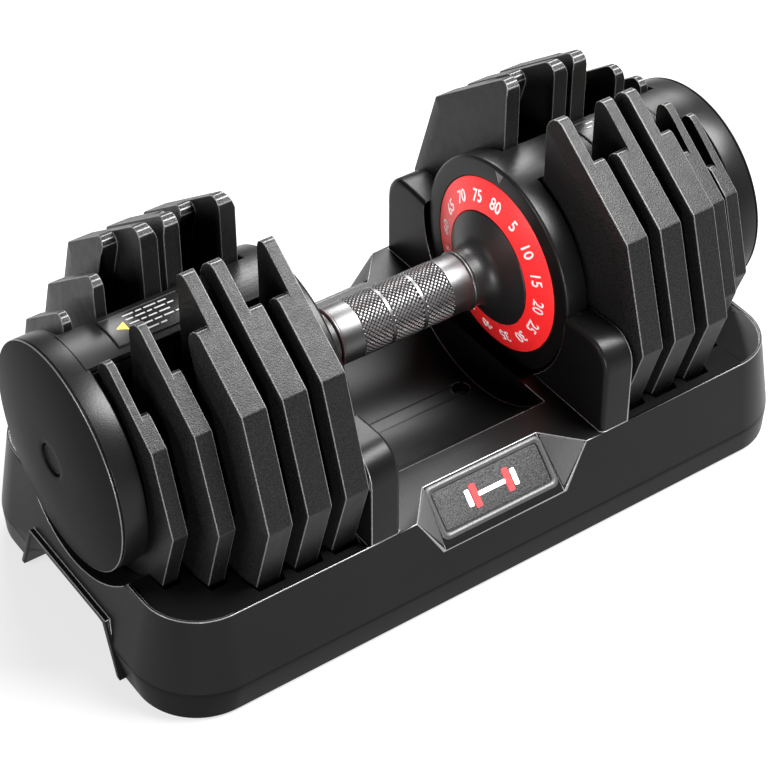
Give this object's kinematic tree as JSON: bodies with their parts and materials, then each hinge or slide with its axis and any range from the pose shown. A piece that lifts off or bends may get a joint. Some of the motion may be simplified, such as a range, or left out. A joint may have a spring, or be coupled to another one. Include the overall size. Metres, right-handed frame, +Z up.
{
  "type": "adjustable dumbbell",
  "caption": "Adjustable dumbbell docked in its storage tray: twist grip with numbered dials, nested plates on both heads, each picked up by a selector disc.",
  "frame": {"origin": "on the ground, under the middle of the tray's bounding box", "axes": "+X along the grip towards the right head, -Y to the front long side, +Z up"},
  "size_m": [0.447, 0.2284, 0.2293],
  "materials": {
    "tray_plastic": "satin black",
    "bezel_plastic": "textured dark grey",
    "panel_plastic": "satin black",
    "pad_rubber": "matte",
    "screw_steel": "plain",
    "plate_paint": "speckled powder coat",
    "housing_plastic": "satin black",
    "label_plastic": "gloss black",
    "collar_plastic": "satin black",
    "dial_plastic": "red, white numerals",
    "grip_chrome": "polished, knurled bands",
    "axle_steel": "plain",
    "selector_plastic": "plain"
  },
  "bodies": {
    "tray": {"tray_shell": "tray_plastic", "badge_bezel_front": "bezel_plastic", "badge_bezel_rear": "bezel_plastic", "badge_panel_front": "panel_plastic", "badge_panel_rear": "panel_plastic", "foot_pad_left_front": "pad_rubber", "foot_pad_left_rear": "pad_rubber", "foot_pad_right_front": "pad_rubber", "foot_pad_right_rear": "pad_rubber", "tray_screw_left": "screw_steel", "tray_screw_right": "screw_steel"},
    "dumbbell": {"housing_left": "housing_plastic", "end_cap_left": "housing_plastic", "end_plug_left": "collar_plastic", "label_panel_left": "label_plastic", "lock_spring_left": "screw_steel", "housing_right": "housing_plastic", "end_cap_right": "housing_plastic", "end_plug_right": "collar_plastic", "label_panel_right": "label_plastic", "lock_spring_right": "screw_steel"},
    "handle": {"axle": "axle_steel", "grip": "grip_chrome", "collar_left": "collar_plastic", "dial_ring_left": "dial_plastic", "end_nut_left": "screw_steel", "collar_right": "collar_plastic", "dial_ring_right": "dial_plastic", "end_nut_right": "screw_steel", "selector_1_left": "selector_plastic", "selector_2_left": "selector_plastic", "selector_3_left": "selector_plastic", "selector_4_left": "selector_plastic", "selector_5_left": "selector_plastic", "selector_1_right": "selector_plastic", "selector_2_right": "selector_plastic", "selector_3_right": "selector_plastic", "selector_4_right": "selector_plastic", "selector_5_right": "selector_plastic"},
    "lock_pin_left": {"lock_pin_left": "axle_steel"},
    "lock_pin_right": {"lock_pin_right": "axle_steel"},
    "plate_1_left": {"plate_1_left": "plate_paint"},
    "plate_2_left": {"plate_2_left": "plate_paint"},
    "plate_3_left": {"plate_3_left": "plate_paint"},
    "plate_4_left": {"plate_4_left": "plate_paint"},
    "plate_5_left": {"plate_5_left": "plate_paint"},
    "plate_1_right": {"plate_1_right": "plate_paint"},
    "plate_2_right": {"plate_2_right": "plate_paint"},
    "plate_3_right": {"plate_3_right": "plate_paint"},
    "plate_4_right": {"plate_4_right": "plate_paint"},
    "plate_5_right": {"plate_5_right": "plate_paint"}
  },
  "joints": [
    {"name": "dumbbell_lift", "type": "slide", "parent": "tray", "child": "dumbbell", "axis": [0, 0, 1], "range_m": [0, 0.15]},
    {"name": "handle_twist", "type": "hinge", "parent": "dumbbell", "child": "handle", "pos_m": [0, 0, 0.1222], "axis": [1, 0, 0], "range_deg": [0, 337.5]},
    {"name": "lock_pin_drop_left", "type": "slide", "parent": "dumbbell", "child": "lock_pin_left", "axis": [0, 0, -1], "range_m": [0, 0.003], "deforming": ["lock_spring_left"]},
    {"name": "lock_pin_drop_right", "type": "slide", "parent": "dumbbell", "child": "lock_pin_right", "axis": [0, 0, -1], "range_m": [0, 0.003], "deforming": ["lock_spring_right"]},
    {"name": "plate_1_left_lift", "type": "slide", "parent": "tray", "child": "plate_1_left", "axis": [0, 0, 1], "range_m": [0, 0.15]},
    {"name": "plate_2_left_lift", "type": "slide", "parent": "tray", "child": "plate_2_left", "axis": [0, 0, 1], "range_m": [0, 0.15]},
    {"name": "plate_3_left_lift", "type": "slide", "parent": "tray", "child": "plate_3_left", "axis": [0, 0, 1], "range_m": [0, 0.15]},
    {"name": "plate_4_left_lift", "type": "slide", "parent": "tray", "child": "plate_4_left", "axis": [0, 0, 1], "range_m": [0, 0.15]},
    {"name": "plate_5_left_lift", "type": "slide", "parent": "tray", "child": "plate_5_left", "axis": [0, 0, 1], "range_m": [0, 0.15]},
    {"name": "plate_1_right_lift", "type": "slide", "parent": "tray", "child": "plate_1_right", "axis": [0, 0, 1], "range_m": [0, 0.15]},
    {"name": "plate_2_right_lift", "type": "slide", "parent": "tray", "child": "plate_2_right", "axis": [0, 0, 1], "range_m": [0, 0.15]},
    {"name": "plate_3_right_lift", "type": "slide", "parent": "tray", "child": "plate_3_right", "axis": [0, 0, 1], "range_m": [0, 0.15]},
    {"name": "plate_4_right_lift", "type": "slide", "parent": "tray", "child": "plate_4_right", "axis": [0, 0, 1], "range_m": [0, 0.15]},
    {"name": "plate_5_right_lift", "type": "slide", "parent": "tray", "child": "plate_5_right", "axis": [0, 0, 1], "range_m": [0, 0.15]}
  ],
  "couplings": [
    {"joint": "lock_pin_drop_left", "follows": "dumbbell_lift", "ratio": 0.02},
    {"joint": "lock_pin_drop_right", "follows": "dumbbell_lift", "ratio": 0.02},
    {"joint": "plate_1_left_lift", "follows": "dumbbell_lift", "ratio": 1},
    {"joint": "plate_2_left_lift", "follows": "dumbbell_lift", "ratio": 1},
    {"joint": "plate_3_left_lift", "follows": "dumbbell_lift", "ratio": 1},
    {"joint": "plate_4_left_lift", "follows": "dumbbell_lift", "ratio": 1},
    {"joint": "plate_5_left_lift", "follows": "dumbbell_lift", "ratio": 1},
    {"joint": "plate_1_right_lift", "follows": "dumbbell_lift", "ratio": 1},
    {"joint": "plate_2_right_lift", "follows": "dumbbell_lift", "ratio": 1},
    {"joint": "plate_3_right_lift", "follows": "dumbbell_lift", "ratio": 1},
    {"joint": "plate_4_right_lift", "follows": "dumbbell_lift", "ratio": 1},
    {"joint": "plate_5_right_lift", "follows": "dumbbell_lift", "ratio": 1}
  ]
}
